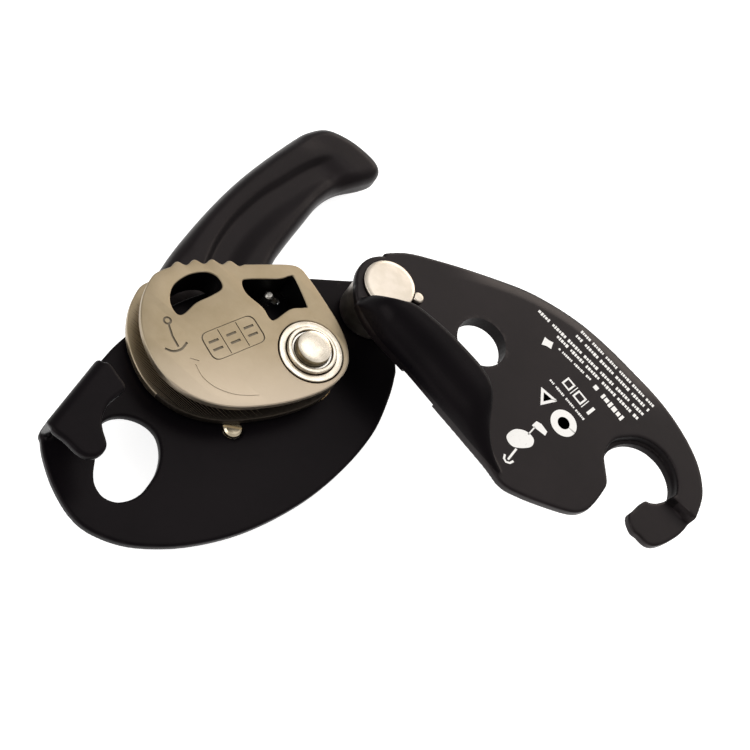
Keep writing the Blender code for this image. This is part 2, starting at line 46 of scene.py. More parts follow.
# --- places in the plan, in millimetres ---
AXIS = (0, 0)  # the spindle's axis, which cam, handle and button share
PIVOT = (4.2, 38.0)  # the rivet that the side plate swings on
EYE = (-21.4, -70.2)  # middle of the karabiner eye
STOP_POST = (-2.1, -34.0)
PARK_PIN = (-22.5, 16.4)
NUB = (14.5, 41.9)
SWING = math.radians(110)  # how far the side plate stands open

# --- heights above the floor, in millimetres ---
HANDLE_LOW, HANDLE_TOP = 3.2, 15.2
HUB_LOW, HUB_TOP = 2.6, 14.4
BACK_LOW, BACK_TOP = 15.5, 19.0
CAM_LOW, CAM_TOP = 20.4, 33.0
GROOVE_LOW, GROOVE_TOP = 23.2, 30.2  # the rope groove between the cam's two flanges
TIP_LOW = 32.6
SIDE_LOW, SIDE_TOP = 35.9, 39.4
GATE_LOW, GATE_TOP = 36.4, 39.8
IN_GROOVE = (23.3, 30.1)  # just inside the two flanges
CUT_LOW, CUT_TOP = 30, 50  # how far cuts through the side plate run

# --- radii and half widths, in millimetres ---
DRIVE_R, DRIVE_HALF = 15.5, 1.9  # the arc slot of the drive pin
CAM_BORE = 11.6
CAM_HUB_R = 13.1
RIVET_HOLE = 5.1
SPINDLE_HOLE = 6.5
SIDE_WINDOW_R = 9.5
COLLAR_R = 11.3
SIDE_BUSH_HOLE = 7.3
SLOT_R = 14.4  # the side plate's hook slot
HUB_R = 21.0
HUB_ROOM_R = 21.6
HANDLE_BORE = 8.4

# --- skins ---
VOXEL = 0.42  # millimetres between the points of a melted skin
KEEP = 0.45  # share of a skin's faces that is kept


# ---------------------------------------------------------------- outlines


def turn(point, angle, centre=(0.0, 0.0)):
    x = point[0] - centre[0]
    y = point[1] - centre[1]
    c, s = math.cos(angle), math.sin(angle)
    return (centre[0] + x * c - y * s, centre[1] + x * s + y * c)


def polar(centre, radius, degrees):
    a = math.radians(degrees)
    return (centre[0] + radius * math.cos(a), centre[1] + radius * math.sin(a))


def arc(centre, radius, start, end, steps):
    """Points from one angle to another, in degrees."""
    return [polar(centre, radius, start + (end - start) * i / steps) for i in range(steps + 1)]


def circle(centre, radius, steps=72):
    return arc(centre, radius, 0, 360, steps)[:-1]


def blend_row(rows, t):
    """Catmull-Rom through rows of numbers, t running from 0 to len(rows) - 1."""
    i = min(int(t), len(rows) - 2)
    t -= i
    four = [rows[min(max(i + k, 0), len(rows) - 1)] for k in (-1, 0, 1, 2)]
    weights = (
        (-t + 2 * t * t - t**3) / 2,
        (2 - 5 * t * t + 3 * t**3) / 2,
        (t + 4 * t * t - 3 * t**3) / 2,
        (t**3 - t * t) / 2,
    )
    return tuple(sum(w * row[k] for w, row in zip(weights, four)) for k in range(len(rows[0])))


def smooth(points, steps=8, closed=False):
    """A soft line through the points, with a number of steps from each to the next."""
    if closed:
        wrapped = [points[-1]] + list(points) + [points[0], points[1]]
        return [blend_row(wrapped, 1 + i / steps) for i in range(len(points) * steps)]
    return [blend_row(points, i / steps) for i in range((len(points) - 1) * steps + 1)]


def sector(centre, inner, outer, start, end, steps=24):
    """A piece of a ring."""
    return arc(centre, outer, start, end, steps) + arc(centre, inner, end, start, steps)


def about(outline, centre, factor):
    """The outline scaled about a point."""
    cx, cy = centre
    return [(cx + (x - cx) * factor, cy + (y - cy) * factor) for x, y in outline]


def lay(points, at, lean):
    """Points turned by an angle and moved to a place."""
    c, s = math.cos(lean), math.sin(lean)
    return [(at[0] + u * c - v * s, at[1] + u * s + v * c) for u, v in points]


def bar(middle, width, height, lean=0.0):
    """The outline of a leaning block."""
    w, h = width / 2, height / 2
    return lay([(-w, -h), (w, -h), (w, h), (-w, h)], middle, lean)


def rounded(start, corner, end, t):
    """A point of the soft bend from start to end that a corner pulls out."""
    return tuple((1 - t) ** 2 * start + 2 * t * (1 - t) * corner + t * t * end)


def stroke(points, width):
    """The outline of a line of even width along the points."""
    left, right = [], []
    for i, (x, y) in enumerate(points):
        x0, y0 = points[max(i - 1, 0)]
        x1, y1 = points[min(i + 1, len(points) - 1)]
        size = math.hypot(x1 - x0, y1 - y0)
        nx, ny = -(y1 - y0) / size * width / 2, (x1 - x0) / size * width / 2
        left.append((x + nx, y + ny))
        right.append((x - nx, y - ny))
    return left + right[::-1]


def back_outline():
    left = [(-26.5, 25.5), (-37.0, 8.0), (-45.5, -14.0), (-48.4, -36.0), (-47.6, -50.0)]
    heel = [(-47.0, -58.0), (-44.9, -78.5), (-42.2, -82.2), (-37.3, -86.2), (-29.0, -90.9)]
    toe = [(-19.0, -94.0), (-10.0, -93.2), (1.0, -87.6), (13.0, -75.6), (23.5, -58.6),
           (31.0, -37.4)]
    right = [(34.2, -17.0), (34.0, 2.0), (30.2, 17.6), (26.2, 27.6)]
    return smooth(left + heel + toe + right, 8) + arc(PIVOT, 14.0, 0, 150, 40) + [(-18.6, 33.9)]


def eye_outline():
    left = [(-23.6, -78.6), (-26.4, -74.6), (-30.0, -70.2), (-32.8, -66.2), (-32.8, -61.6)]
    top = [(-30.4, -57.6), (-26.4, -54.8), (-21.9, -53.7), (-17.6, -54.6), (-13.3, -58.2)]
    right = [(-10.2, -63.6), (-9.0, -69.2), (-8.8, -73.6), (-10.0, -77.6), (-12.6, -81.0)]
    return smooth(left + top + right + [(-16.6, -82.4), (-20.6, -81.3)], 8, closed=True)


def gate_outline():
    fold = [(-42.0, -70.5), (-43.5, -61.5), (-43.1, -58.6), (-41.6, -57.6), (-37.0, -58.7)]
    side = [(-33.7, -59.6), (-32.7, -61.6), (-33.1, -67.1), (-32.4, -70.5), (-30.9, -73.5)]
    beak = [(-28.6, -75.8), (-24.9, -78.3), (-23.7, -80.6), (-24.1, -83.9), (-26.4, -86.4)]
    foot = [(-29.5, -87.0), (-34.0, -86.7), (-37.0, -87.0), (-39.4, -86.8), (-40.2, -84.6),
            (-40.9, -79.5)]
    return smooth(fold + side + beak + foot, 8, closed=True)


def side_outline():
    shoulder = [(-5.0, 47.4), (-3.2, 50.3), (1.6, 55.7), (11.3, 62.4), (31.6, 75.1), (47.8, 82.4)]
    rim = [(68.7, 86.4), (94.0, 85.0), (113.6, 80.4), (127.9, 73.2), (136.1, 64.1), (138.8, 55.2)]
    hook = [(138.9, 49.5), (137.9, 43.6), (135.2, 36.8), (132.6, 33.0), (129.7, 31.6),
            (126.2, 31.9)]
    nose = [(123.6, 31.8), (120.6, 33.8), (119.2, 36.2), (120.0, 39.6), (120.6, 43.2),
            (121.5, 45.6)]
    mouth = [(123.0, 46.3), (125.0, 47.9), (126.9, 50.6), (128.2, 53.2)]
    middle = turn(EYE, SWING, PIVOT)
    slot = arc(middle, SLOT_R, 14, 140, 48)
    slot += [polar(middle, SLOT_R + 1.2 * ease(a, 140, 175), a) for a in range(143, 205, 3)]
    jaw = [(103.4, 41.0), (106.0, 37.4), (106.5, 33.6), (106.2, 26.5), (105.0, 21.8), (101.4, 17.6)]
    sheen_to_bottom = [(93.0, 13.0), (84.5, 9.2), (77.0, 7.2), (68.0, 9.3), (46.0, 13.2), (26.0, 16.7),
             (14.0, 18.0)]
    root = [(7.0, 19.7), (1.0, 22.9), (-4.4, 29.0)]
    left = arc(PIVOT, 12.2, 225, 132, 24)
    upper = smooth(shoulder + rim + hook + nose + mouth, 8)[1:]
    return left + upper + slot + smooth(jaw + sheen_to_bottom + root, 8)[:-1]


def cam_outline(teeth=4, tooth=1.7, per_tooth=16):
    """The cam's rim, with a row of soft teeth along its straight flank."""
    first, last = (-52.9, -12.6), (-37.2, 6.9)
    outward = (-0.78, 0.63)
    serrated = []
    for i in range(teeth * per_tooth + 1):
        t = i / (teeth * per_tooth)
        bow = 1.2 * math.sin(math.pi * t)
        rise = tooth * (0.5 - 0.5 * math.cos(2 * math.pi * teeth * t))
        along = (first[0] + (last[0] - first[0]) * t, first[1] + (last[1] - first[1]) * t)
        out = bow + rise
        serrated.append((along[0] + outward[0] * out, along[1] + outward[1] * out))
    top = [(-36.6, 8.6), (-31.0, 15.4), (-25.9, 21.2), (-22.6, 23.2), (-18.4, 22.7), (-7.0, 19.2)]
    nose = [(0.9, 16.2), (7.5, 12.0), (12.0, 6.4), (13.2, -0.6), (11.3, -9.6), (5.4, -21.6)]
    heel = [(-2.9, -33.0), (-10.6, -39.8), (-19.0, -43.5), (-28.3, -44.3), (-37.3, -41.4)]
    back = [(-45.4, -35.8), (-51.4, -28.0), (-54.4, -19.6), (-53.7, -14.6)]
    return serrated + smooth(top + nose + heel + back, 8)


def left_window():
    points = [(-47.4, -16.5), (-46.6, -9.5), (-43.2, -4.0), (-39.1, -2.6), (-36.0, -4.7)]
    points += [(-36.6, -9.5), (-38.3, -15.8), (-38.5, -22.4), (-40.6, -23.9), (-44.8, -21.6)]
    return smooth(points, 8, closed=True)


def right_window():
    points = [(-32.7, 2.6), (-31.8, 5.4), (-24.8, 13.8), (-23.0, 17.6), (-21.2, 18.3),
              (-12.2, 13.4)]
    points += [(-12.0, 11.8), (-14.9, 7.6), (-16.1, 0.2), (-17.6, -0.9), (-22.0, 0.5), (-29.0, 0.4)]
    return smooth(points, 8, closed=True)


def handle_outline():
    outer = [(-15.4, -14.5), (-31.0, -19.2), (-45.0, -18.0), (-55.0, -10.8), (-59.3, 2.0),
             (-62.1, 20.8)]
    back = [(-63.7, 42.0), (-63.5, 61.0), (-61.7, 82.0), (-60.0, 90.5), (-55.8, 97.6),
            (-46.5, 101.6)]
    tip = [(-36.0, 102.2), (-30.4, 100.2), (-28.9, 95.8), (-30.8, 89.8), (-35.8, 79.6),
           (-37.4, 69.8)]
    inner = [(-36.4, 58.0), (-34.8, 43.2), (-33.0, 33.0), (-28.4, 21.0), (-20.4, 11.0),
             (-18.8, 5.0)]
    return smooth(outer + back + tip + inner, 8)


# ---------------------------------------------------------------- meshes


def link(name, mesh):
    obj = bpy.data.objects.new(name, mesh)
    SCENE.collection.objects.link(obj)
    return obj


def from_bmesh(name, shape):
    """An object made of the bmesh, which is freed."""
    mesh = bpy.data.meshes.new(name)
    shape.to_mesh(mesh)
    shape.free()
    return link(name, mesh)


def skin(name, rings):
    """A closed body through rings of (x, y, z) in millimetres."""
    shape = bmesh.new()
    loops = [[shape.verts.new(tuple(c * MM for c in point)) for point in ring] for ring in rings]
    for one, two in zip(loops, loops[1:]):
        for i in range(len(one)):
            j = (i + 1) % len(one)
            shape.faces.new((one[i], one[j], two[j], two[i]))
    shape.faces.new(loops[0])
    shape.faces.new(reversed(loops[-1]))
    bmesh.ops.recalc_face_normals(shape, faces=shape.faces)
    return from_bmesh(name, shape)


def modify(obj, kind, **settings):
    """Adds a modifier with these settings."""
    modifier = obj.modifiers.new(kind.lower(), kind)
    for key, value in settings.items():
        setattr(modifier, key, value)


def evaluated_mesh(obj):
    bpy.context.view_layer.update()
    graph = bpy.context.evaluated_depsgraph_get()
    return bpy.data.meshes.new_from_object(obj.evaluated_get(graph))


def settle(obj):
    """The object with its modifiers applied."""
    mesh = evaluated_mesh(obj)
    obj.modifiers.clear()
    obj.data = mesh
    return obj


def sheet(name, loops, low, high, edge=0.0, rounds=3):
    """A plate from flat loops, the first its rim and the rest its holes, with rounded edges."""
    curve = bpy.data.curves.new(name, "CURVE")
    curve.dimensions = "2D"
    curve.fill_mode = "BOTH"
    curve.extrude = ((high - low) / 2 - edge) * MM
    curve.bevel_depth = edge * MM
    curve.bevel_resolution = rounds
    curve.offset = -edge * MM
    for loop in loops:
        spline = curve.splines.new("POLY")
        spline.points.add(len(loop) - 1)
        for point, (x, y) in zip(spline.points, loop):
            point.co = (x * MM, y * MM, 0, 1)
        spline.use_cyclic_u = True
    guide = link(name + "_guide", curve)
    guide.location.z = (low + high) / 2 * MM
    mesh = evaluated_mesh(guide)
    mesh.transform(guide.matrix_world)
    bpy.data.objects.remove(guide)
    shape = bmesh.new()
    shape.from_mesh(mesh)
    bmesh.ops.remove_doubles(shape, verts=shape.verts, dist=1e-7)
    bmesh.ops.recalc_face_normals(shape, faces=shape.faces)
    shape.to_mesh(mesh)
    shape.free()
    return link(name, mesh)


def lathe(name, profile, at=(0, 0), steps=96, ring=False):
    """A profile of (radius, height), outer side top to bottom, turned about a vertical axis."""
    mesh = bpy.data.meshes.new(name)
    edges = [(i, i + 1) for i in range(len(profile) - 1)]
    if ring:
        edges.append((len(profile) - 1, 0))
    mesh.from_pydata([(r * MM, 0, z * MM) for r, z in profile], edges, [])
    obj = link(name, mesh)
    modify(obj, "SCREW", steps=steps, render_steps=steps, use_merge_vertices=True, merge_threshold=1e-6)
    settle(obj)
    obj.data.transform(Matrix.Translation((at[0] * MM, at[1] * MM, 0)))
    return obj


def eased(profile, edge, ring=False, steps=4):
    """The profile with its corners rounded off."""
    count = len(profile)
    made = []
    for i, corner in enumerate(profile):
        if not ring and i in (0, count - 1):
            made.append(corner)
            continue
        p = Vector(profile[i - 1])
        c = Vector(corner)
        n = Vector(profile[(i + 1) % count])
        cut = min(edge, (p - c).length * 0.45, (n - c).length * 0.45)
        start = c + (p - c).normalized() * cut
        end = c + (n - c).normalized() * cut
        made += [rounded(start, c, end, k / steps) for k in range(steps + 1)]
    return made


def combine(target, other, operation="DIFFERENCE"):
    """Cuts the other object out of the target, or joins it on, and removes the other."""
    modify(target, "BOOLEAN", operation=operation, object=other)
    settle(target)
    bpy.data.objects.remove(other)
    return target


def join(name, objects):
    """One object holding the meshes of several."""
    shape = bmesh.new()
    for obj in objects:
        shape.from_mesh(obj.data)
        bpy.data.objects.remove(obj)
    return from_bmesh(name, shape)


def melt(obj, voxel, passes, keep=1.0):
    """Runs overlapping solids together into one skin with soft corners."""
    modify(obj, "REMESH", mode="VOXEL", voxel_size=voxel * MM)
    modify(obj, "SMOOTH", factor=0.5, iterations=passes)
    if keep < 1:
        modify(obj, "DECIMATE", ratio=keep)
    return settle(obj)


def points_of(obj):
    """All points as rows of (x, y, z) in millimetres."""
    flat = np.empty(len(obj.data.vertices) * 3)
    obj.data.vertices.foreach_get("co", flat)
    return flat.reshape(-1, 3) / MM


def put_points(obj, points):
    obj.data.vertices.foreach_set("co", (points * MM).reshape(-1))
    obj.data.update()


def reach(points, line, closed=True):
    """Distance in the plan from each point to a line of (x, y)."""
    a = np.array(line)
    b = np.roll(a, -1, axis=0)
    if not closed:
        a, b = a[:-1], b[:-1]
    best = np.full(len(points), 1e9)
    for (ax, ay), (bx, by) in zip(a, b):
        dx, dy = bx - ax, by - ay
        size = dx * dx + dy * dy + 1e-12
        t = np.clip(((points[:, 0] - ax) * dx + (points[:, 1] - ay) * dy) / size, 0, 1)
        gap = np.hypot(points[:, 0] - ax - t * dx, points[:, 1] - ay - t * dy)
        best = np.minimum(best, gap)
    return best


def ease(x, start, end):
    """0 up to start, 1 from end on, and a soft step between them."""
    t = np.clip((x - start) / (end - start), 0, 1)
    return t * t * (3 - 2 * t)


# ---------------------------------------------------------------- materials


class Paint:
    """A node material built round one Principled shader."""

    def __init__(self, name, metallic=0.0, specular=0.5, coat=0.0, coat_rough=0.2):
        self.material = bpy.data.materials.new(name)
        self.material.use_nodes = True
        self.tree = self.material.node_tree
        self.shader = self.tree.nodes["Principled BSDF"]
        self.shader.inputs["Metallic"].default_value = metallic
        self.shader.inputs["Specular IOR Level"].default_value = specular
        self.shader.inputs["Coat Weight"].default_value = coat
        self.shader.inputs["Coat Roughness"].default_value = coat_rough
        self.place = self.add("ShaderNodeTexCoord").outputs["Object"]

    def add(self, kind, **settings):
        node = self.tree.nodes.new(kind)
        for key, value in settings.items():
            setattr(node, key, value)
        return node

    def wire(self, out, into):
        self.tree.links.new(out, into)

    def stretch(self, scale, turned=0.0, centre=(0, 0)):
        """Object coordinates in millimetres, moved, turned and scaled."""
        move = self.add("ShaderNodeMapping", vector_type="POINT")
        move.inputs["Location"].default_value = (-centre[0] * MM, -centre[1] * MM, 0)
        self.wire(self.place, move.inputs["Vector"])
        spin = self.add("ShaderNodeMapping", vector_type="POINT")
        spin.inputs["Rotation"].default_value = (0, 0, turned)
        spin.inputs["Scale"].default_value = tuple(1000 * s for s in scale)
        self.wire(move.outputs[0], spin.inputs["Vector"])
        return spin.outputs[0]

    def noise(self, scale, detail=3.0, rough=0.5, turned=0.0):
        """Clouds or streaks, with the scale in waves per millimetre along x, y and z."""
        node = self.add("ShaderNodeTexNoise")
        node.inputs["Scale"].default_value = 1.0
        node.inputs["Detail"].default_value = detail
        node.inputs["Roughness"].default_value = rough
        self.wire(self.stretch(scale, turned), node.inputs["Vector"])
        return node.outputs["Fac"]

    def rings(self, centre, spacing):
        """Fine turning marks round a vertical axis."""
        place = self.stretch((1, 1, 0.001), centre=centre)
        size = self.add("ShaderNodeVectorMath", operation="LENGTH")
        self.wire(place, size.inputs[0])
        node = self.add("ShaderNodeTexNoise", noise_dimensions="1D")
        node.inputs["Scale"].default_value = 1 / spacing
        node.inputs["Detail"].default_value = 2.0
        self.wire(size.outputs["Value"], node.inputs["W"])
        return node.outputs["Fac"]

    def ramp(self, value, low, high, a, b):
        """Value between low and high carried to a and b."""
        node = self.add("ShaderNodeMapRange")
        for key, number in (("From Min", low), ("From Max", high), ("To Min", a), ("To Max", b)):
            node.inputs[key].default_value = number
        self.wire(value, node.inputs["Value"])
        return node.outputs["Result"]

    def mix(self, value, a, b):
        """Colour a where value is 0 and b where it is 1."""
        node = self.add("ShaderNodeMix", data_type="RGBA")
        self.wire(value, node.inputs["Factor"])
        for socket, colour in ((node.inputs[6], a), (node.inputs[7], b)):
            if isinstance(colour, tuple):
                socket.default_value = (*colour, 1)
            else:
                self.wire(colour, socket)
        return node.outputs[2]

    def edge(self, low=0.52, high=0.6):
        """1 on outward edges and 0 elsewhere."""
        geometry = self.add("ShaderNodeNewGeometry")
        return self.ramp(geometry.outputs["Pointiness"], low, high, 0.0, 1.0)

    def times(self, a, b):
        node = self.add("ShaderNodeMath", operation="MULTIPLY")
        for socket, value in zip(node.inputs, (a, b)):
            if isinstance(value, (int, float)):
                socket.default_value = value
            else:
                self.wire(value, socket)
        return node.outputs[0]

    def colour(self, value):
        self.wire(value, self.shader.inputs["Base Color"])

    def rough(self, value):
        self.wire(value, self.shader.inputs["Roughness"])

    def bump(self, *heights):
        """Relief from pairs of (value, depth in millimetres)."""
        normal = None
        for value, depth in heights:
            node = self.add("ShaderNodeBump")
            node.inputs["Strength"].default_value = 1.0
            node.inputs["Distance"].default_value = depth * MM
            self.wire(value, node.inputs["Height"])
            if normal is not None:
                self.wire(normal, node.inputs["Normal"])
            normal = node.outputs["Normal"]
        self.wire(normal, self.shader.inputs["Normal"])


def anodised(name, dark, light, rough=(0.28, 0.38), grain=0.004, specular=0.2):
    """Black anodising: a deep dyed skin, fine blasted grain, worn edges and a few scuffs."""
    paint = Paint(name, specular=specular)
    paint.shader.inputs["Specular Tint"].default_value = (1.0, 0.88, 0.87, 1)
    patches = paint.noise((0.05, 0.05, 0.05), 3)
    fine = paint.noise((4.5, 4.5, 4.5), 2)
    scuffs = paint.noise((0.5, 9.0, 1.0), 2, turned=0.7)
    base = paint.mix(paint.ramp(patches, 0.35, 0.65, 0, 1), dark, light)
    patchy = paint.ramp(paint.noise((0.4, 0.4, 0.4), 4), 0.45, 0.7, 0, 0.55)
    worn = paint.times(paint.edge(), patchy)
    paint.colour(paint.mix(worn, base, (0.06, 0.05, 0.047)))
    paint.rough(paint.ramp(scuffs, 0.3, 0.7, *rough))
    paint.bump((fine, grain), (patches, 0.012))
    return paint.material


def cast_steel(name):
    """Tumbled stainless casting: warm cloudy satin, fine scratches, painted shade in recesses and a
    painted sheen towards the bottom.
    """
    paint = Paint(name, metallic=1.0)
    clouds = paint.noise((0.09, 0.09, 0.09), 4, 0.6)
    brushed = paint.noise((0.5, 5.0, 2.0), 3, turned=math.radians(-52))
    fine = paint.noise((6.0, 6.0, 6.0), 2)
    cloudy = paint.ramp(clouds, 0.3, 0.7, 0, 1)
    satin = paint.mix(cloudy, (0.262, 0.208, 0.132), (0.31, 0.25, 0.168))
    # Painted sheen: the colour gets lighter towards the cam's lower side and stands in for a brighter
    # reflection there.
    split = paint.add("ShaderNodeSeparateXYZ")
    paint.wire(paint.stretch((1, 1, 1), math.radians(-138)), split.inputs[0])
    sheen_to_bottom = paint.ramp(split.outputs["X"], -17, 4, 1, 0)
    base = paint.mix(paint.times(sheen_to_bottom, 0.85), satin, (0.48, 0.4, 0.31))
    geometry = paint.add("ShaderNodeNewGeometry")
    facing = paint.add("ShaderNodeSeparateXYZ")
    paint.wire(geometry.outputs["Normal"], facing.inputs[0])
    rounded = paint.ramp(facing.outputs["Z"], 0.9, 0.99, 1, 0)
    edge = paint.times(paint.edge(0.51, 0.58), 0.6)
    base = paint.mix(paint.times(edge, rounded), base, (0.52, 0.45, 0.35))
    # Painted shade: recesses on faces that do not face up darken towards a deep brown.
    recess_shade = paint.ramp(geometry.outputs["Pointiness"], 0.42, 0.488, 0.85, 0.0)
    paint.colour(paint.mix(paint.times(recess_shade, rounded), base, (0.12, 0.095, 0.07)))
    paint.rough(paint.ramp(brushed, 0.3, 0.7, 0.37, 0.44))
    paint.bump((fine, 0.004), (brushed, 0.0012), (clouds, 0.05))
    return paint.material


def turned_steel(
    name, centre, light=(0.7, 0.63, 0.53), dark=(0.55, 0.49, 0.4), rough=(0.16, 0.3), depth=0.003
):
    """Turned and polished steel: fine rings, slight smears."""
    paint = Paint(name, metallic=1.0)
    rings = paint.rings(centre, 0.22)
    smears = paint.noise((0.3, 0.3, 0.3), 4)
    paint.colour(paint.mix(paint.ramp(smears, 0.35, 0.65, 0, 1), dark, light))
    paint.rough(paint.ramp(rings, 0.3, 0.7, *rough))
    paint.bump((rings, depth), (smears, 0.01))
    return paint.material


def stock_or_shade_metal(name, dark, light, rough=(0.25, 0.4)):
    """Plain wire, bush and washer stock, and the flat dark metals of painted shade."""
    paint = Paint(name, metallic=1.0)
    specks = paint.noise((1.2, 1.2, 1.2), 3)
    paint.colour(paint.mix(paint.ramp(specks, 0.3, 0.7, 0, 1), dark, light))
    paint.rough(paint.ramp(specks, 0.3, 0.7, *rough))
    paint.bump((specks, 0.004))
    return paint.material


def print_ink(name):
    """White pad-printed ink, slightly thin in places."""
    paint = Paint(name, specular=0.3)
    thin = paint.noise((1.6, 1.6, 1.6), 4)
    worn = paint.ramp(thin, 0.62, 0.8, 0, 1)
    paint.colour(paint.mix(worn, (0.95, 0.94, 0.92), (0.55, 0.53, 0.51)))
    paint.rough(paint.ramp(thin, 0.3, 0.7, 0.45, 0.65))
    paint.bump((thin, 0.004))
    return paint.material


BLACK = anodised("anodised_plate", (0.0032, 0.0024, 0.0030), (0.0060, 0.0044, 0.0052))
MOULDED = anodised(
    "anodised_handle", (0.0030, 0.0022, 0.0030), (0.0055, 0.0040, 0.0050), (0.3, 0.42), 0.01, 0.15
)
# Painted shade: a darker, less glossy copy of the plate anodising, for the back plate and the side plate's
# fin.
SHADED_ANODISING = anodised(
    "anodised_painted_shade", (0.0022, 0.0018, 0.0026), (0.0034, 0.0026, 0.0036), (0.3, 0.42), 0.004, 0.075
)
CAST = cast_steel("cast_stainless")
SPINDLE_STEEL = turned_steel("turned_spindle", AXIS)
RIVET_STEEL = turned_steel(
    "turned_rivet", PIVOT, (0.62, 0.555, 0.48), (0.56, 0.5, 0.42), (0.3, 0.4), 0.002
)
POST_STEEL = turned_steel("turned_post", PIVOT, (0.4, 0.36, 0.32), (0.28, 0.25, 0.22), (0.3, 0.42))
SCREW_STEEL = turned_steel(
    "turned_screw", STOP_POST, (0.78, 0.68, 0.5), (0.66, 0.56, 0.4), (0.25, 0.35)
)
BRONZE = stock_or_shade_metal("bearing_bronze", (0.42, 0.27, 0.13), (0.55, 0.38, 0.2))
WIRE = stock_or_shade_metal("spring_wire", (0.3, 0.3, 0.31), (0.5, 0.5, 0.5))
STOCK = stock_or_shade_metal("bright_stock", (0.6, 0.57, 0.52), (0.78, 0.75, 0.69))
INK = print_ink("white_print")
# Painted shadow: a near-black metal for the walls of holes, slots and the cam's windows.
SHADOW_WALLS = stock_or_shade_metal("painted_wall_shadow", (0.008, 0.007, 0.008), (0.014, 0.012, 0.012), (0.5, 0.65))
SHADE = stock_or_shade_metal("cast_shade", (0.04, 0.033, 0.026), (0.065, 0.054, 0.043), (0.45, 0.6))
# Painted shade: a darker cast metal for the rope groove's walls and the floors of the cast marks.
GROOVE_SHADE = stock_or_shade_metal("painted_groove_shade", (0.12, 0.1, 0.074), (0.17, 0.145, 0.11), (0.42, 0.55))
# Painted shade: a dark brown metal for the button's sides, down in its bore.
SKIRT_SHADE = stock_or_shade_metal("button_skirt_painted_shade", (0.2, 0.16, 0.1), (0.3, 0.25, 0.16), (0.28, 0.38))


def paint_faces(obj, material, wanted):
    """Gives a second material to the faces for which wanted(centre in mm, normal) holds."""
    obj.data.materials.append(material)
    index = len(obj.data.materials) - 1
    for face in obj.data.polygons:
        if wanted(face.center / MM, face.normal):
            face.material_index = index


def coat(obj, material):
    """Gives the object this one material."""
    obj.data.materials.clear()
    obj.data.materials.append(material)


def finish(obj, material, body, *nodes, slot=None, angle=32, smooth_all=False):
    """Paints, shades and hangs a piece, which stands for the named CAD nodes."""
    coat(obj, material)
    obj.data.shade_smooth()
    if not smooth_all:
        obj.data.set_sharp_from_angle(angle=math.radians(angle))
    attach(obj, body)
    if nodes:
        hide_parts(*nodes)
    return obj


# ---------------------------------------------------------------- back plate and tab


def drive_slot(start, end):
    """The arc in which the drive pin runs."""
    return sector(AXIS, DRIVE_R - DRIVE_HALF, DRIVE_R + DRIVE_HALF, start, end)


def make_fold():
    """The bent sheet between plate and flange, with a round bend at each end."""
    bend, thick = 2.8, 3.0
    quarter = np.linspace(0, math.pi / 2, 9)
    foot = [(bend - bend * math.sin(a), BACK_LOW + 0.3 + bend * (1 - math.cos(a))) for a in quarter]
    head = [(bend - bend * math.sin(a), GATE_TOP - 0.1 - bend * (1 - math.cos(a))) for a in quarter]
    section = foot + head[::-1]
    middle = (BACK_LOW + GATE_TOP) / 2
    rings = []
    for t in np.linspace(0, 1, 25):
        low_end = Vector((-46.7, -58.6)).lerp(Vector((-44.3, -79.8)), t)
        top_end = Vector((-45.6, -58.8)).lerp(Vector((-41.9, -86.4)), t)
        ring = []
        for inner in (False, True):
            for inward, z in section[::-1] if inner else section:
                base = low_end.lerp(top_end, (z - BACK_LOW) / (GATE_TOP - BACK_LOW))
                x, height = base.x + inward, z
                if inner:
                    pull = max(0.0, 1 - inward / bend)
                    x += thick * pull
                    if abs(z - middle) > 1:
                        height += (middle - z) / abs(middle - z) * thick * (1 - pull)
                ring.append((x, base.y, height))
        rings.append(ring)
    return skin("fold", rings)


def make_back_plate():
    holes = [eye_outline(), circle(AXIS, SPINDLE_HOLE), circle(PIVOT, RIVET_HOLE)]
    holes += [circle(STOP_POST, 3.5, 48), circle(PARK_PIN, 1.9, 32), drive_slot(-162.5, -102.5)]
    plate = sheet("plate_sheet", [back_outline()] + holes, BACK_LOW, BACK_TOP, 0.55)
    flange = sheet("flange_sheet", [gate_outline()], GATE_LOW, GATE_TOP, 0.9, 4)
    body = join("back_plate_visual", [plate, flange, make_fold()])
    melt(body, VOXEL, 7, KEEP)
    # Painted shade: the back plate takes the darker copy of the anodising.
    finish(body, SHADED_ANODISING, "chassis", "back_plate", slot="anodised_black", smooth_all=True)


make_back_plate()


# ---------------------------------------------------------------- side plate

# The raised rope fin, as rows of (x, lower edge, upper edge, height over its base)
FIN = (
    (0.4, 22.8, 26.4, 0.8),
    (2.8, 21.8, 27.9, 5.5),
    (7.0, 20.2, 28.6, 9.8),
    (11.5, 18.6, 31.0, 11.6),
    (16.5, 17.5, 33.8, 12.0),
    (28.0, 16.2, 34.8, 12.0),
    (38.0, 14.5, 34.2, 12.0),
    (47.0, 12.9, 32.8, 12.0),
    (52.5, 12.1, 30.2, 11.6),
    (56.5, 11.3, 26.0, 9.6),
    (61.0, 10.5, 19.6, 6.0),
    (67.0, 9.6, 14.0, 3.0),
    (74.0, 8.4, 10.4, 1.0),
)


def arch(low, foot, height, base, steps=28):
    """The fin's cross line, with its crest near the upper edge."""
    crest = foot - 0.24 * (foot - low)
    made = []
    for i in range(steps + 1):
        a = math.pi * i / steps
        reach_y = (foot - crest) if a < math.pi / 2 else (crest - low)
        made.append((crest + reach_y * math.cos(a), base + height * math.sin(a) ** 0.85))
    return made


def loft_fin(name, rows, base, floor, fine=5):
    """A body through the fin's cross lines, closed below at the height of the floor."""
    rings = []
    for i in range((len(rows) - 1) * fine + 1):
        x, low, foot, height = blend_row(rows, i / fine)
        line = arch(low, foot, max(height, 0.3), base)
        loop = line + [(line[-1][0], floor), (line[0][0], floor)]
        rings.append([(x, y, z) for y, z in loop])
    return skin(name, rings)


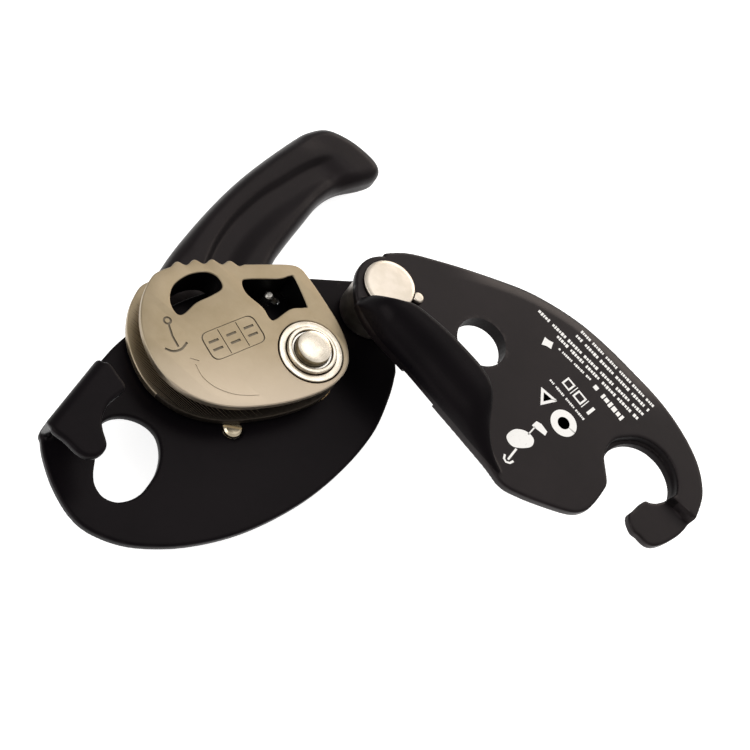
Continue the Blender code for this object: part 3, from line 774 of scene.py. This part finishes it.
def step_tip(body):
    """Bends the hook's tip down by one step beyond the crease."""
    p = points_of(body)
    start, end = (129.6, 52.3), (137.8, 51.9)  # the crease
    across, up = end[0] - start[0], end[1] - start[1]
    past = (across * (start[1] - p[:, 1]) + up * (p[:, 0] - start[0])) / math.dist(start, end)
    near = (p[:, 0] > 117) & (p[:, 1] < 56) & (p[:, 2] > SIDE_LOW - 0.6)
    p[:, 2] -= np.where(near, (SIDE_LOW - TIP_LOW) * ease(past, -0.2, 1.3), 0)
    put_points(body, p)


def roll_rim(body):
    """Eases the plate's long upper rim down over a few millimetres."""
    p = points_of(body)
    rim = [(14.0, 63.4), (31.8, 74.7), (48.0, 82.0), (68.7, 86.0), (93.9, 84.6), (113.4, 80.1)]
    gap = reach(p, smooth(rim, 8), closed=False)
    along = ease(p[:, 0], 12, 34) * (1 - ease(p[:, 0], 88, 112))
    upper = (p[:, 2] > SIDE_TOP - 1.2) & (p[:, 1] > 58)
    p[:, 2] -= np.where(upper, 0.95 * along * np.clip(1 - gap / 5.0, 0, 1) ** 1.5, 0)
    put_points(body, p)


def make_side_plate():
    hole = turn(AXIS, SWING, PIVOT)
    slot = turn(EYE, SWING, PIVOT)
    overlap = SIDE_LOW + 0.6
    plate = sheet("side_sheet", [side_outline()], SIDE_LOW, SIDE_TOP, 0.5)
    lip = [(6, 14.1), (30, 14.0), (60, 13.5), (95, 13.1), (130, 13.0), (165, 13.5), (196, 14.6)]
    under = [polar(slot, r, a) for a, r in smooth(lip, 8)] + arc(slot, 18.4, 196, 6, 40)
    rim = sheet("slot_rim", [under], TIP_LOW, overlap, 0.5)
    collar = sheet("collar", [circle(hole, COLLAR_R, 96)], 33.6, overlap, 0.3)
    fin = loft_fin("fin", FIN, SIDE_TOP - 0.6, SIDE_LOW + 0.4)
    body = join("side_plate_visual", [plate, rim, collar, fin])
    melt(body, VOXEL, 6)
    step_tip(body)
    roll_rim(body)

    inner = [(x, low + 3.2, foot - 2.8, height - 2.6) for x, low, foot, height in FIN[2:10]]
    combine(body, loft_fin("fin_inside", inner, SIDE_TOP - 0.6, SIDE_LOW - 2))
    combine(body, sheet("window", [circle(hole, SIDE_WINDOW_R, 120)], CUT_LOW, CUT_TOP))
    combine(body, sheet("bush_hole", [circle(PIVOT, SIDE_BUSH_HOLE, 96)], CUT_LOW, CUT_TOP))
    # The spindle and the button pass under the plate along two arcs about the pivot.
    angle = math.degrees(math.atan2(hole[1] - PIVOT[1], hole[0] - PIVOT[0]))
    far = math.dist(hole, PIVOT)
    for name, half, low, top in (("mouth", 12.4, CUT_LOW, SIDE_LOW + 0.12), ("path", 7.0, 31, 37.6)):
        combine(body, sheet(name, [sector(PIVOT, far - half, far + half, angle - 60, angle)], low, top))
    modify(body, "DECIMATE", ratio=KEEP)
    settle(body)
    finish(body, BLACK, "side_plate_body", "side_plate", slot="anodised_black", angle=40)
    # Painted shade: the fin, above the plate's face, takes the darker copy of the anodising.
    paint_faces(body, SHADED_ANODISING, lambda c, n: c.z > SIDE_TOP + 0.3)

    # Walls of the window and of the hook slot, which take the painted shadow.
    def inside(c, n):
        in_hole = math.dist((c.x, c.y), hole) < SIDE_WINDOW_R + 0.4 and abs(n.z) < 0.6
        near_slot = math.dist((c.x, c.y), slot) < SLOT_R + 2
        return in_hole or (near_slot and abs(n.z) < 0.8 and c.z < SIDE_TOP - 0.25)

    paint_faces(body, SHADOW_WALLS, inside)


make_side_plate()


def fine_print(start, end, height, seed):
    """A line of small blocks in groups, as unreadable fine print."""
    length = math.dist(start, end)
    lean = math.atan2(end[1] - start[1], end[0] - start[0])
    blocks = []
    at, index = 0.0, 0
    while at < length - 0.6:
        width = height * (0.42 + 0.3 * ((index * 7 + seed * 3) % 5) / 4)
        if (index * 5 + seed) % 7:
            along = at + width / 2
            middle = (start[0] + along * math.cos(lean), start[1] + along * math.sin(lean))
            blocks.append(bar(middle, width, height * (0.75 + 0.25 * ((index + seed) % 3) / 2), lean))
        at += width + height * 0.2
        index += 1
    return blocks


def framed_blocks():
    """A solid block and two empty frames in a row, with a thin bar after each of the first two."""
    lean = math.radians(168)
    line = 0.7
    made = []
    for k, width in enumerate((1.2, 4.4, 4.0)):
        at = (86.6 - 6.0 * k, 56.6 + 1.25 * k)
        if k:
            side = width / 2 - line / 2
            sides = [(0, v, width, line) for v in (1.7, -1.7)] + [(u, 0, line, 2.8) for u in (-side, side)]
            made += [bar(lay([(u, v)], at, lean)[0], w, h, lean) for u, v, w, h in sides]
        else:
            made.append(bar(at, width, 4.2, lean))
        if k < 2:
            made.append(bar((at[0] - 3.1, at[1] + 0.65), 0.35, 4.6, lean))
    return made


def print_marks():
    """Plain printed blocks and signs on the side plate; none of them is a letter."""
    loops = []
    for row in (
        ((104.2, 78.1), (66.6, 82.2), 1.3, 1),
        ((103.6, 75.0), (66.0, 79.0), 1.5, 2),
        ((102.8, 71.8), (50.0, 75.8), 1.5, 3),
        ((102.0, 68.6), (60.4, 72.6), 1.5, 4),
        ((97.5, 63.6), (83.4, 66.4), 2.6, 5),
        ((80.0, 67.6), (64.2, 68.6), 1.1, 6),
        ((87.1, 51.4), (68.0, 55.0), 1.0, 7),
    ):
        loops += fine_print(*row)
    loops += framed_blocks()
    ring = sector((81.4, 44.2), 2.4, 5.2, 2, 358, 40)
    triangle = sector((71.2, 47.6), 2.2, 4.3, 32, 388, 3)
    patch = [(58.3, 64.6), (60.0, 65.6), (62.0, 66.0), (61.2, 69.0), (59.4, 68.4), (57.6, 68.3)]
    egg = [(68.4, 23.0), (69.0, 27.6), (72.6, 30.4), (76.4, 30.0), (77.0, 26.4), (72.4, 21.8)]
    loops += [ring, triangle, patch, smooth(egg, 8, closed=True)]
    cup = [(71.6, 17.0), (72.2, 15.4), (73.4, 14.9), (74.7, 15.6), (75.3, 17.2)]
    loops.append(stroke([(73.5, 16.2), (73.6, 22.0)], 0.8))
    loops.append(stroke(cup, 0.8))
    loops.append(stroke([(73.9, 30.0), (74.2, 34.4)], 0.5))
    loops.append([(73.0, 34.0), (78.8, 34.5), (78.6, 36.4), (75.4, 37.3), (73.4, 36.8)])

    ink_top, ink_low = (SIDE_TOP + 0.035) * MM, (SIDE_TOP - 0.05) * MM
    shape = bmesh.new()
    for loop in loops:
        area = sum(a[0] * b[1] - b[0] * a[1] for a, b in zip(loop, loop[1:] + loop[:1]))
        if area < 0:
            loop = loop[::-1]
        top = [shape.verts.new((x * MM, y * MM, ink_top)) for x, y in loop]
        low = [shape.verts.new((x * MM, y * MM, ink_low)) for x, y in loop]
        shape.faces.new(top)
        shape.faces.new(low[::-1])
        for i in range(len(loop)):
            j = (i + 1) % len(loop)
            shape.faces.new((low[i], low[j], top[j], top[i]))
    bmesh.ops.triangulate(shape, faces=[f for f in shape.faces if len(f.verts) > 4])
    finish(from_bmesh("print_marks", shape), INK, "side_plate_body", angle=20)


print_marks()


# ---------------------------------------------------------------- cam


def carve_face(target, loops, depth=0.3):
    """Sinks marks into the cam's upper face; each is a list of loops."""
    for loop in loops:
        combine(target, sheet("mark", loop, CAM_TOP - depth, CAM_TOP + 0.5))


def cast_marks():
    """A ruled frame with short bars in it, a curved line, a hook and a small ring."""
    corners = [Vector(c) for c in ((-30.1, -24.6), (-23.0, -4.6), (-12.9, -8.1), (-20.1, -28.2))]
    outline = []
    for i, c in enumerate(corners):
        start = c + (corners[i - 1] - c).normalized() * 3.0
        end = c + (corners[(i + 1) % 4] - c).normalized() * 3.0
        outline += [rounded(start, c, end, t) for t in np.linspace(0, 1, 7)]
    centre = (-21.5, -16.4)
    marks = [[about(outline, centre, 1.0), about(outline, centre, 0.955)]]
    middle = Vector(centre)
    along = (corners[1] - corners[0]).normalized()
    across = (corners[3] - corners[0]).normalized()
    for side in (-1, 1):
        m = middle + along * side * 3.6
        marks.append([stroke([tuple(m - across * 4.7), tuple(m + across * 4.7)], 0.3)])
    for k in (-1, 0, 1):
        m = middle + along * k * 7.0
        for j in (-1, 1):
            ends = [tuple(m + across * j * 1.5 + along * half) for half in (-1.9, 1.9)]
            marks.append([stroke(ends, 0.85)])
    marks.append([stroke([(-39.4, -29.0), (-35.8, -31.4), (-31.8, -33.0)], 0.7)])
    hook = smooth([(-34.4, -36.8), (-32.0, -35.6), (-30.6, -33.0), (-30.9, -29.6)], 5)
    marks.append([stroke(hook, 0.8)])
    marks.append([circle((-40.4, -28.4), 1.5, 24), circle((-40.4, -28.4), 0.8, 24)])
    return marks


def shallow_arrow():
    """A long bent line that widens into a blunt head."""
    tail = [(-23.8, -34.6), (-19.7, -36.2), (-14.6, -35.9), (-9.4, -33.6), (-5.6, -30.4),
            (-2.6, -27.0)]
    tail = smooth(tail, 6)
    upper = [(x + 0.3, y + 0.9) for x, y in tail]
    lower = [(x - 0.3, y - 0.5) for x, y in reversed(tail)]
    head = [(-26.6, -33.2), (-23.9, -31.6), (-24.0, -33.6)]
    return head + upper + lower + [(-24.2, -36.4), (-25.4, -37.8)]


def paint_cam(body, rim, windows):
    """Paints shade onto the windows' walls, the rope groove, the recessed marks and the lower right of the
    rear flange.
    """
    spots = np.array([tuple(face.center / MM) for face in body.data.polygons])
    to_window = np.minimum(reach(spots, windows[0]), reach(spots, windows[1]))
    to_rim = reach(spots, rim)
    known = {tuple(np.round(c, 3)): (w, r) for c, w, r in zip(spots, to_window, to_rim)}

    def gaps(centre):
        return known[tuple(np.round(np.array(tuple(centre)), 3))]

    def window_wall(c, n):
        return abs(n.z) < 0.35 and gaps(c)[0] < 0.35 and c.z < CAM_TOP - 0.5

    def groove(c, n):
        return abs(n.z) < 0.5 and IN_GROOVE[0] < c.z < IN_GROOVE[1] and gaps(c)[0] > 0.5

    def mark(c, n):
        at_depth = CAM_TOP - 0.32 < c.z < CAM_TOP - 0.2
        return at_depth and gaps(c)[1] > 1.2 and gaps(c)[0] > 0.6

    # Painted shade: the lower right of the rear flange, beneath the front flange.
    def shaded(c, n):
        return c.x > -27 and c.y < 3 and c.z < IN_GROOVE[1] and gaps(c)[0] > 0.5

    # Painted shadow on the windows' walls; painted shade in the groove, on the marks and under the front
    # flange.
    paint_faces(body, SHADOW_WALLS, window_wall)
    paint_faces(body, GROOVE_SHADE, groove)
    paint_faces(body, GROOVE_SHADE, mark)
    paint_faces(body, SHADE, shaded)


def make_cam():
    rim = cam_outline()
    bore = circle(AXIS, CAM_BORE, 120)
    windows = [left_window(), right_window()]
    front = sheet("cam_front", [rim, *windows, bore], GROOVE_TOP, CAM_TOP, 0.42, 4)
    rear = sheet("cam_rear", [about(rim, (10, 0), 1.03), *windows, bore], CAM_LOW, GROOVE_LOW, 0.42, 4)
    # The core's parts end at slightly different heights, so that no two faces coincide.
    core = sheet("cam_core", [about(rim, (-20, -10), 0.85)], 22.6, 30.8)
    combine(core, sheet("cam_hub", [circle(AXIS, CAM_HUB_R, 96)], 22.5, 30.7), "UNION")
    for window, middle in zip(windows, ((-41.5, -12.0), (-21.5, 8.0))):
        combine(core, sheet("window_wall", [about(window, middle, 1.2)], 22.55, 30.75), "UNION")
    for hole in (*windows, bore):
        combine(core, sheet("through", [hole], 15, 40))
    for piece in (rear, core):
        combine(piece, sheet("pocket", [drive_slot(-174.5, -82.5)], 15, 24.4))
    carve_face(front, cast_marks())
    carve_face(front, [[shallow_arrow()]], 0.17)
    body = join("cam_visual", [front, rear, core])
    finish(body, CAST, "cam_body", "cam", slot="cast_steel", angle=38)
    paint_cam(body, rim, windows)


make_cam()


# ---------------------------------------------------------------- handle


def shape_arm(p, outline):
    """Rounds the arm's edges and presses a long valley beside a ridge into its upper side."""
    low, mid, top = HANDLE_LOW, 9.2, HANDLE_TOP
    roll = 5.0  # millimetres from the edge over which it rounds off
    edge = reach(p, outline[:-1])
    off_hub = ease(np.hypot(p[:, 0], p[:, 1]), 22.0, 30.0)
    inset = np.clip(1 - edge / roll, 0, 1)
    drop = (1 - np.sqrt(np.clip(1 - inset**2, 0, 1))) * 4.6
    ridge = [(-44.0, -2.0), (-49.5, 11.7), (-52.9, 21.7), (-54.9, 32.7), (-55.3, 42.9)]
    ridge += [(-54.9, 52.7), (-53.5, 62.2), (-51.8, 73.0), (-49.2, 82.9), (-46.0, 90.0)]
    rail = np.array(smooth(ridge, 8))
    order = np.argsort(rail[:, 1])
    past = p[:, 0] - np.interp(p[:, 1], rail[order, 1], rail[order, 0])
    fade = ease(p[:, 1], 2, 14) * (1 - ease(p[:, 1], 78, 90))
    groove = 2.3 * ease(past, -0.4, 2.4) * (1 - 0.75 * ease(past, 7.0, 15.0))
    crown = 0.5 * np.sin(np.clip((past + 10) / 10, 0, 1) * math.pi)
    lip = 1.4 * np.exp(-(((p[:, 0] + 33.5) / 5.0) ** 2) - (((p[:, 1] - 80.0) / 4.5) ** 2))
    height = top - off_hub * (drop + fade * (groove - crown * (past < 0)) + lip)
    base = low + off_hub * drop * 0.75
    z = p[:, 2]
    above = mid + (z - mid) / (top - mid) * (height - mid)
    below = mid - (mid - z) / (mid - low) * (mid - base)
    p[:, 2] = np.where(off_hub <= 0, z, np.where(z > mid, above, below))


def make_handle():
    outline = handle_outline()
    arm = sheet("arm", [outline], HANDLE_LOW, HANDLE_TOP, 0.4)
    hub = sheet("hub", [circle(AXIS, HUB_R, 120)], HUB_LOW, HUB_TOP, 0.8)
    combine(arm, sheet("hub_room", [circle(AXIS, HUB_ROOM_R, 96)], HUB_TOP, 20))
    combine(arm, sheet("cap_room", [circle(AXIS, HUB_ROOM_R, 96)], -4, HUB_LOW))
    body = join("handle_visual", [arm, hub])
    melt(body, 0.5, 8)
    p = points_of(body)
    shape_arm(p, outline)
    put_points(body, p)
    modify(body, "SMOOTH", factor=0.5, iterations=6)
    settle(body)
    combine(body, sheet("bore", [circle(AXIS, HANDLE_BORE, 72)], -5, 30))
    combine(body, sheet("seat", [circle(AXIS, 13.2, 96), circle(AXIS, 9.8, 96)], 7.5, 30))
    modify(body, "DECIMATE", ratio=0.5)
    settle(body)
    finish(body, MOULDED, "handle_body", "handle", slot="handle_black", angle=50)


make_handle()


# ---------------------------------------------------------------- turned pieces


def make_turned():
    """The round pieces, from profiles of (radius, height)."""
    bore = [(0, 13.0), (4.1, 13.0), (4.1, 23.1), (7.25, 23.1)]
    outside = [(7.25, 34.8), (8.7, 34.8), (8.7, 19.3), (6.2, 19.3), (6.2, 2.5), (0, 2.5)]
    spindle = lathe("spindle_visual", eased(bore + outside, 0.35), steps=120)
    finish(spindle, SPINDLE_STEEL, "chassis", "spindle", slot="bright_steel")

    bush = [(9.0, 33.3), (11.3, 33.3), (11.3, 26.2), (9.0, 26.2)]
    ring = lathe("cam_bush_visual", eased(bush, 0.3, ring=True), steps=120, ring=True)
    finish(ring, SPINDLE_STEEL, "cam_body", "cam_bush", slot="bright_steel")

    dome = [(6.3 * math.sin(a), 36.35 + 0.85 * math.cos(a)) for a in np.linspace(0, 1.2, 9)]
    skirt = [(6.2, 35.6), (6.2, 28.6), (6.9, 28.6), (6.9, 27.0), (0, 27.0)]
    button = lathe("latch_button_visual", dome + eased([dome[-1]] + skirt, 0.5)[1:], steps=120)
    finish(button, SPINDLE_STEEL, "button_body", "latch_button", slot="bright_steel", angle=50)
    # Painted shade on the button's sides.
    paint_faces(button, SKIRT_SHADE, lambda c, n: abs(n.z) < 0.6)

    head = [(0, 41.2), (5.0, 41.18), (8.2, 41.05), (9.5, 40.7), (9.5, 39.7), (4.8, 39.7),
            (4.8, 15.2)]
    tail = [(8.0, 15.2), (7.2, 13.9), (4.5, 13.3), (0, 13.3)]
    rivet = lathe("pivot_rivet_visual", eased(head + tail, 0.4), PIVOT, steps=120)
    finish(rivet, RIVET_STEEL, "chassis", "pivot_rivet", slot="bright_steel", angle=40)

    drum = [(5.1, 34.6), (10.0, 34.6), (10.8, 33.8), (10.8, 20.1), (10.0, 19.3), (5.1, 19.3)]
    post = lathe("friction_post_visual", eased(drum, 0.5, ring=True), PIVOT, steps=120, ring=True)
    finish(post, POST_STEEL, "chassis", "friction_post", slot="bright_steel")

    nub = [(0, 41.2), (1.7, 41.1), (2.1, 40.6), (2.1, 39.7), (0, 39.7)]
    peg = lathe("plate_stop_pin_visual", eased(nub, 0.3), NUB, steps=64)
    combine(peg, sheet("rivet_room", [circle(PIVOT, 9.6, 120)], 38, 43))
    finish(peg, RIVET_STEEL, "side_plate_body", "plate_stop_pin", slot="bright_steel")

    screw = [(0, 20.05), (2.4, 19.95), (3.25, 19.3), (3.25, 18.2), (1.6, 18.2), (1.6, 8.0),
             (0, 8.0)]
    head = lathe("stop_screw_visual", eased(screw, 0.25), STOP_POST, steps=64)
    combine(head, sheet("screw_slot", [bar(STOP_POST, 10, 0.9, 0.62)], 18.9, 24))
    finish(head, SCREW_STEEL, "chassis", "stop_screw", slot="bright_steel")

    cap = [(0, 2.2), (19.4, 2.2), (20.0, 1.6), (20.0, 0.6), (19.4, 0.0), (0, 0.0)]
    cover = lathe("rear_cap_visual", eased(cap, 0.4), steps=120)
    for i in range(3):
        at = (3.4 * math.cos(2.1 * i + 0.5), 3.4 * math.sin(2.1 * i + 0.5))
        combine(cover, sheet("cap_hole", [circle(at, 1.3, 32)], -2, 4))
        combine(cover, sheet("cap_sink", [circle(at, 2.1, 32)], -2, 1.2))
    finish(cover, SPINDLE_STEEL, "chassis", "rear_cap", slot="bright_steel")


make_turned()

for material, names in (
    (BRONZE, ("cam_washer", "handle_washer", "handle_bush", "plate_bush")),
    (WIRE, ("cam_spring", "handle_spring", "button_spring")),
    (STOCK, ("cap_screw_1", "cap_screw_2", "cap_screw_3", "drive_pin", "handle_park_pin")),
    (STOCK, ("handle_stop_post", "cam_stop_pin", "button_circlip", "plate_washer")),
):
    for name in names:
        coat(NODES[name], material)


# ---------------------------------------------------------------- studio


def area_light(name, place, aim, size, power, colour=(1, 1, 1)):
    """A soft rectangle of light at a place in metres, turned towards its aim."""
    light = bpy.data.lights.new(name, "AREA")
    light.shape = "RECTANGLE"
    light.size, light.size_y = size
    light.energy = power
    light.color = colour
    obj = link(name, light)
    obj.location = place
    obj.rotation_euler = (Vector(aim) - Vector(place)).to_track_quat("-Z", "Y").to_euler()


def make_floor():
    """A wide pale floor that glows a little, so that shadows stay faint."""
    shape = bmesh.new()
    bmesh.ops.create_grid(shape, x_segments=1, y_segments=1, size=3.0)
    floor = from_bmesh("floor", shape)
    floor.location.z = -0.0002
    paint = Paint("pale_floor", specular=0.1)
    paint.colour(paint.mix(paint.noise((0.01, 0.01, 0.01), 2), (0.78, 0.78, 0.78), (0.8, 0.8, 0.8)))
    paint.shader.inputs["Roughness"].default_value = 0.9
    paint.shader.inputs["Emission Color"].default_value = (1, 1, 1, 1)
    paint.shader.inputs["Emission Strength"].default_value = 0.82
    floor.data.materials.append(paint.material)


def make_lights():
    world = bpy.data.worlds.new("studio")
    SCENE.world = world
    world.use_nodes = True
    back = world.node_tree.nodes["Background"]
    back.inputs["Color"].default_value = (1.0, 0.985, 0.96, 1)
    back.inputs["Strength"].default_value = 0.55
    area_light("overhead", (0.1, 0.9, 1.35), (0, 0, 0.03), (1.9, 1.5), 5.0)
    area_light("cam_glow", (-0.12, 0.62, 1.3), (-0.03, -0.02, 0.03), (0.5, 0.4), 1.2)
    area_light("rim", (0.1, 1.5, 0.72), (0.05, 0.05, 0.03), (1.4, 0.55), 9, (1.0, 0.9, 0.8))
    area_light("front", (-0.9, -1.1, 1.1), (0, 0, 0.03), (1.2, 1.2), 10)


def make_camera():
    """A short telephoto view from the front, about 54 degrees above the floor."""
    data = bpy.data.cameras.new("camera")
    data.lens = 67.2
    data.sensor_width = 36
    data.clip_start = 0.01
    data.clip_end = 20
    camera = link("camera", data)
    right = Vector((0.7469, 0.5379, 0.3910))
    up = Vector((-0.6650, 0.6042, 0.4390))
    backward = Vector((-0.0001, -0.5879, 0.8090))
    facing = Matrix((right, up, backward)).transposed().to_4x4()
    place = Vector((21.1, -267.8, 415.7)) * MM
    camera.matrix_world = Matrix.Translation(place) @ facing
    SCENE.camera = camera
    SCENE.view_settings.view_transform = "Standard"


make_floor()
make_lights()
make_camera()
